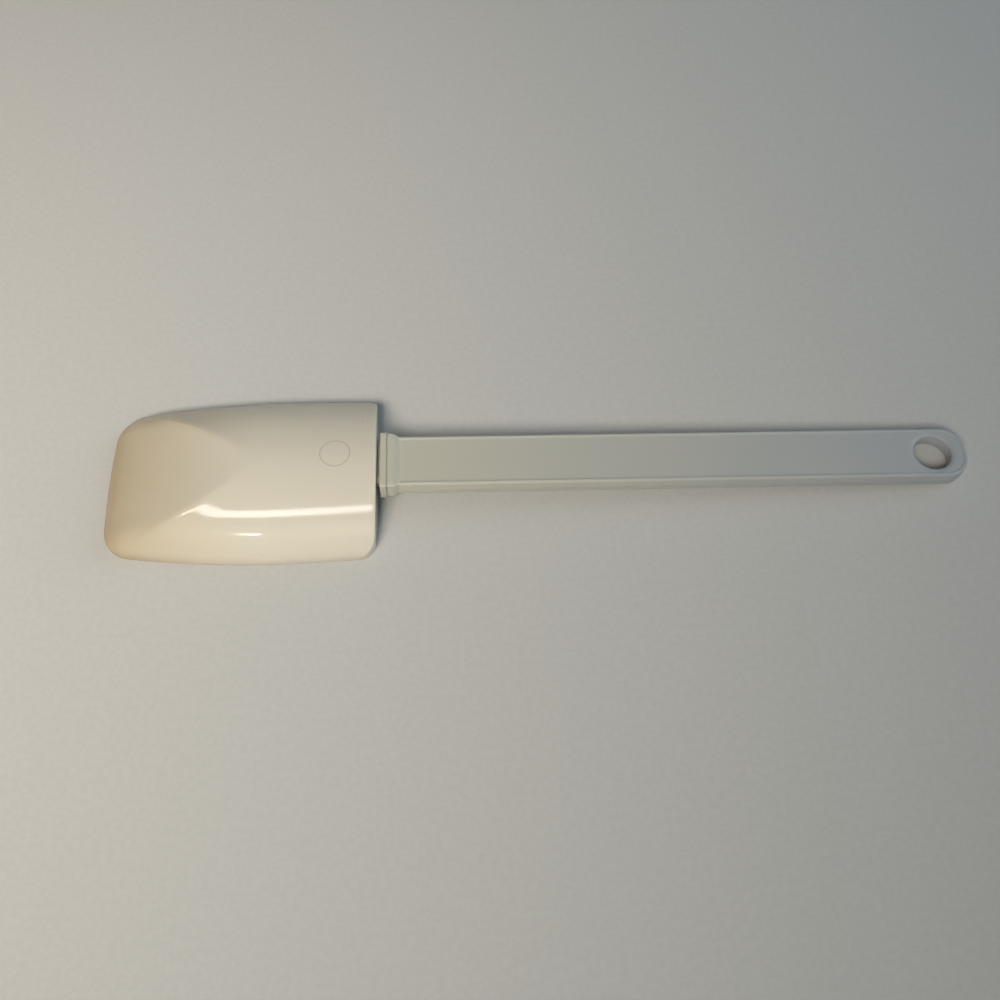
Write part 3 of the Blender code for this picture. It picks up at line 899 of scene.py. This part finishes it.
@dataclass
class GripHandle:
    """The stiff handle: drafted flat bar with dished faces, parting line and flared hang hole."""

    axis: HandleAxis
    collar: Collar
    width: float = 0.0226
    thickness: float = 0.0074
    draft: float = 0.0002
    edge: float = 0.0009
    end_corner: float = 0.0096
    collar_overlap: float = 0.0030
    bead: float = 0.00006
    bead_half: float = 0.00022
    bead_middle: Pair = (0.3, 0.5)
    land: float = 0.0003
    dish: float = 0.0002
    dish_slope: float = 0.0005
    hole_radius: float = 0.0075
    hole_place: float = -0.0138
    flare_width: float = 0.0022
    flare_depth: float = 0.0010
    ring_reach: float = 0.0104
    ring_gather: float = 0.8
    steps_long: int = 150
    steps_ring_side: int = 14
    steps_ring: int = 6
    steps_corner: int = 22
    steps_cross: int = 18
    steps_wall: int = 4
    steps_edge: int = 8
    steps_dish: int = 5
    steps_flare: int = 9

    def outline(self) -> tuple[Array, Array, int]:
        """Plan of the bar from the collar along the near side, round the end and back.

        Formula: straight sides at half the width, quarter circles of the corner radius and a short flat
        end, with the outward normal of each point.

        Returns:
            Points and normals of shape (count, 2), and how many points lie before the hole's patch.
        """
        half, radius = self.width / 2, self.end_corner
        cut = self.hole_place - self.ring_reach
        start = self.collar.flange_front + self.collar.flange_length + self.collar_overlap
        along = np.linspace(start, cut, self.steps_long + 1)
        patch = np.linspace(cut, -radius, self.steps_ring_side + 1)[1:]
        side = np.concatenate([along, patch])
        turn = rounded(self.steps_corner)[1:]
        round_end = np.stack([np.sin(turn), -np.cos(turn)], axis=-1)
        flat = np.linspace(-(half - radius), 0, 3)[1:]
        near = np.concatenate([np.stack([side, 0 * side - half], axis=-1),
                               np.array([-radius, radius - half]) + radius * round_end,
                               np.stack([0 * flat, flat], axis=-1)])
        normal = np.concatenate([np.tile([0.0, -1.0], (len(side), 1)), round_end,
                                 np.tile([1.0, 0.0], (len(flat), 1))])
        mirror = np.array([1.0, -1.0])
        points = np.concatenate([near, near[-2::-1] * mirror])
        normals = np.concatenate([normal, normal[-2::-1] * mirror])
        return points, normals, len(along)

    def edge_profile(self) -> Array:
        """Upper half of the bar's edge as rows of inset and height.

        Formula: a parting bead, a drafted wall, a quarter circle, a narrow land and a slope of
        3t^2 - 2t^3 down into the dish.
        """
        top = self.thickness / 2
        rows = [(0.0, 0.0), (self.bead * self.bead_middle[0], self.bead_half * self.bead_middle[1]),
                (self.bead, self.bead_half)]
        for height in np.linspace(self.bead_half, top - self.edge, self.steps_wall + 1)[1:]:
            rows.append((self.bead + (self.draft - self.bead) * height / (top - self.edge), height))
        for left, drawn in quarter(self.steps_edge)[1:]:
            rows.append((self.draft + self.edge * drawn, top - self.edge * left))
        start = self.draft + self.edge + self.land
        rows.append((start, top))
        for share in np.linspace(0, 1, self.steps_dish + 1)[1:]:
            fall = float(smooth_step(np.float64(share), 0, 1)) * self.dish
            rows.append((start + share * self.dish_slope, top - fall))
        return np.array(rows)

    def build_face(self, shell: Shell, side: Side) -> list[Array]:
        """Add one face of the bar: its edge, its flat, the patch round the hole and half the hole's wall.

        Args:
            shell: the handle's mesh in the making.
            side: upper or lower face.

        Returns:
            Vertex numbers of the open end's rim, in order from the parting line round the face.
        """
        plan, normal, split = self.outline()
        profile = self.edge_profile()
        flip = np.array([1.0, 1.0, float(side.value)])
        inset, height = profile.T[..., None, None]
        rim = plan - normal * inset
        edge = shell.add_grid(self.axis.place(with_height(rim, height) * flip))
        inner, level = rim[-1], profile[-1, 1]
        share = np.linspace(0, 1, self.steps_cross + 1)[None, :, None]
        near, far = inner[:split, None], inner[::-1][:split, None]
        flat = near + (far - near) * share
        middle = shell.add_grid(self.axis.place(with_height(flat, level) * flip))
        loop = np.concatenate([inner[split - 1:len(inner) - split + 1], flat[-1, -2:0:-1]])
        centre = np.array([self.hole_place, 0.0])
        arm = loop - centre
        arm /= np.linalg.norm(arm, axis=1, keepdims=True)
        outer = centre + arm * (self.hole_radius + self.flare_width)
        step = (np.linspace(0, 1, self.steps_ring + 1) ** self.ring_gather)[:, None, None]
        patch = with_height(outer + (loop - outer) * step, level)
        for points in (patch, self.hole_wall(centre, arm, level)):
            shell.add_grid(self.axis.place(points * flip), wrap=True)
        return [edge[:, 0], middle[0, 1:-1], edge[::-1, -1]]

    def hole_wall(self, centre: Array, arm: Array, level: float) -> Array:
        """Half the hang hole's wall: straight from the parting bead, then a flare of a quarter ellipse."""
        rows = [(self.hole_radius - self.bead, 0.0), (self.hole_radius, self.bead_half)]
        for left, drawn in quarter(self.steps_flare):
            rows.append((self.hole_radius + self.flare_width * drawn, level - self.flare_depth * left))
        return np.stack([with_height(centre + arm * radius, height) for radius, height in rows])

    def build(self) -> bpy.types.Object:
        """Build the handle: both faces of the bar, its hidden end, and the collar with the tang."""
        shell = Shell()
        upper = self.build_face(shell, Side.UPPER)
        lower = self.build_face(shell, Side.LOWER)
        ring = np.concatenate(upper + [part[::-1] for part in lower[::-1]])
        points = np.concatenate(shell.points)[ring]
        keep = np.linalg.norm(points - np.roll(points, 1, axis=0), axis=1) > WELD_DISTANCE
        shell.add_cap(ring[keep])
        self.collar.build(shell)
        return shell.build("grip_handle")


# Studio


@dataclass(frozen=True)
class Lamp:
    """A soft area lamp: where it stands, what it faces, its size, brightness and colour.

    A lamp that isn't mirrored shows in no reflection, and one that isn't lighting shows in nothing else.
    """

    role: LampRole
    place: Triple
    target: Triple
    size: Pair
    brightness: float
    colour: Triple
    spread: float = 180.0
    mirrored: bool = True
    lighting: bool = True

    def build(self) -> None:
        """Make the lamp, with its power worked out as brightness times pi times its area."""
        data = bpy.data.lights.new(self.role.value, 'AREA')
        data.shape = 'RECTANGLE'
        data.size, data.size_y = self.size
        data.energy = self.brightness * math.pi * self.size[0] * self.size[1]
        data.color = self.colour
        data.spread = math.radians(self.spread)
        lamp = place_in_scene(self.role.value, data)
        lamp.visible_glossy = self.mirrored
        lamp.visible_diffuse = self.lighting
        away = (Vector(self.place) - Vector(self.target)).normalized()
        across = away.cross(Vector((1, 0, 0))).normalized()
        turn = Matrix((across.cross(away), across, away)).transposed().to_4x4()
        lamp.matrix_world = Matrix.Translation(self.place) @ turn


@dataclass
class Studio:
    """Plain pale table, even sky, soft lamps and the camera."""

    table_reach: float = 0.85
    sky: Triple = (1.0, 0.93, 0.86)
    sky_strength: float = 0.02
    backdrop: Triple = (0.40, 0.395, 0.385)
    camera_place: Triple = (-0.024237, -0.226907, 0.394159)
    camera_tilt: float = math.radians(28.73)
    camera_roll: float = math.radians(2.24)
    camera_lens: float = 40.658
    camera_film: float = 36.0
    camera_nearest: float = 0.01
    lamps: tuple[Lamp, ...] = (
        Lamp(LampRole.WINDOW, (-0.546, -0.794, 1.04), (-0.45, 0.10, 0), (0.9, 0.5), 3.00,
             (1.0, 0.900, 0.772), spread=60.0, mirrored=False),
        Lamp(LampRole.FRONT, (0.035, -0.969, 1.007), (0, 0, 0), (0.8, 0.45), 3.12, (0.674, 0.901, 1.0),
             mirrored=False),
        Lamp(LampRole.TUBE, (-0.305, -0.255, 0.98), (-0.09, -0.02, 0), (0.39, 0.11), 11.0,
             (1.0, 0.97, 0.90), lighting=False),
        Lamp(LampRole.SPARKLE, (-0.336, -0.615, 0.81), (-0.11, -0.03, 0), (0.026, 0.045), 45.0,
             (1.0, 0.97, 0.90), lighting=False),
        Lamp(LampRole.BACK, (0.90, 1.00, 0.80), (0.35, 0.50, 0), (0.5, 0.5), 0.33,
             (0.45, 0.79, 1.0), spread=50.0, mirrored=False),
        Lamp(LampRole.COOL_FILL, (1.191, 0.309, 0.569), (-0.45, 0.10, 0), (0.6, 0.6), 0.884,
             (0.765, 0.894, 1.0), spread=60.0, mirrored=False),
    )

    def build_table(self) -> None:
        """The table top as a flat sheet under the tool."""
        reach = self.table_reach
        mesh = bpy.data.meshes.new("table")
        corners = [(-reach, -reach, 0), (reach, -reach, 0), (reach, reach, 0), (-reach, reach, 0)]
        mesh.from_pydata(corners, [], [(0, 1, 2, 3)])
        mesh.materials.append(TablePlaster().build())
        table = place_in_scene("table", mesh)

    def build_sky(self) -> None:
        """An even sky all round that lights weakly and looks as pale as the table to the camera."""
        world = bpy.data.worlds.new("sky")
        bpy.context.scene.world = world
        world.use_nodes = True
        nodes = Nodes(world.node_tree)
        shade = nodes.fill(world.node_tree.nodes["Background"], Color=(*self.sky, 1),
                           Strength=self.sky_strength)
        backdrop = nodes.fill(nodes.add('ShaderNodeBackground'), Color=(*self.backdrop, 1))
        mix = nodes.add('ShaderNodeMixShader')
        rays = nodes.add('ShaderNodeLightPath').outputs["Is Camera Ray"]
        for number, source in enumerate((rays, shade.outputs[0], backdrop.outputs[0])):
            nodes.feed(source, mix.inputs[number])
        nodes.feed(mix.outputs[0], world.node_tree.nodes["World Output"].inputs["Surface"])

    def build_camera(self) -> None:
        """The camera: a turn about Z, then a tilt from straight down."""
        tilt, roll = self.camera_tilt, self.camera_roll
        right = Vector((math.cos(roll), -math.sin(roll), 0))
        ahead = Vector((math.sin(roll) * math.sin(tilt), math.cos(roll) * math.sin(tilt), -math.cos(tilt)))
        data = bpy.data.cameras.new("camera")
        data.sensor_width = self.camera_film
        data.sensor_fit = 'HORIZONTAL'
        data.lens = self.camera_lens
        data.clip_start = self.camera_nearest
        camera = place_in_scene("camera", data)
        turn = Matrix((right, right.cross(ahead), -ahead)).transposed().to_4x4()
        camera.matrix_world = Matrix.Translation(self.camera_place) @ turn
        bpy.context.scene.camera = camera

    def build(self) -> None:
        """Set up the table, the sky, the lamps, the camera and the plain view."""
        self.build_table()
        self.build_sky()
        for lamp in self.lamps:
            lamp.build()
        self.build_camera()
        bpy.context.scene.view_settings.view_transform = 'Standard'


def dress(piece: bpy.types.Object, body: str, node: str, material: bpy.types.Material) -> None:
    """Give a piece its material, let it ride on its body, and hide the CAD node it stands for."""
    piece.data.materials.clear()
    piece.data.materials.append(material)
    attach(piece, body)
    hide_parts(node)
    log.info("%s: %d faces, rides on %s", piece.name, len(piece.data.polygons), body)


def main() -> None:
    """Build the studio, the handle and the head, and dress them."""
    logging.basicConfig(level=logging.INFO, format="%(name)s: %(message)s")
    Studio().build()
    axis = HandleAxis()
    collar = Collar(axis)
    skin, wear = moulding_group(), wear_group()
    handle = GripHandle(axis, collar).build()
    dress(handle, "handle", "handle", HandlePlastic().build(skin, wear))
    head = SpoonHead(axis).build(collar)
    dress(head, "head", "head", HeadPlastic().build(skin, wear))


if __name__ == "__main__":
    main()
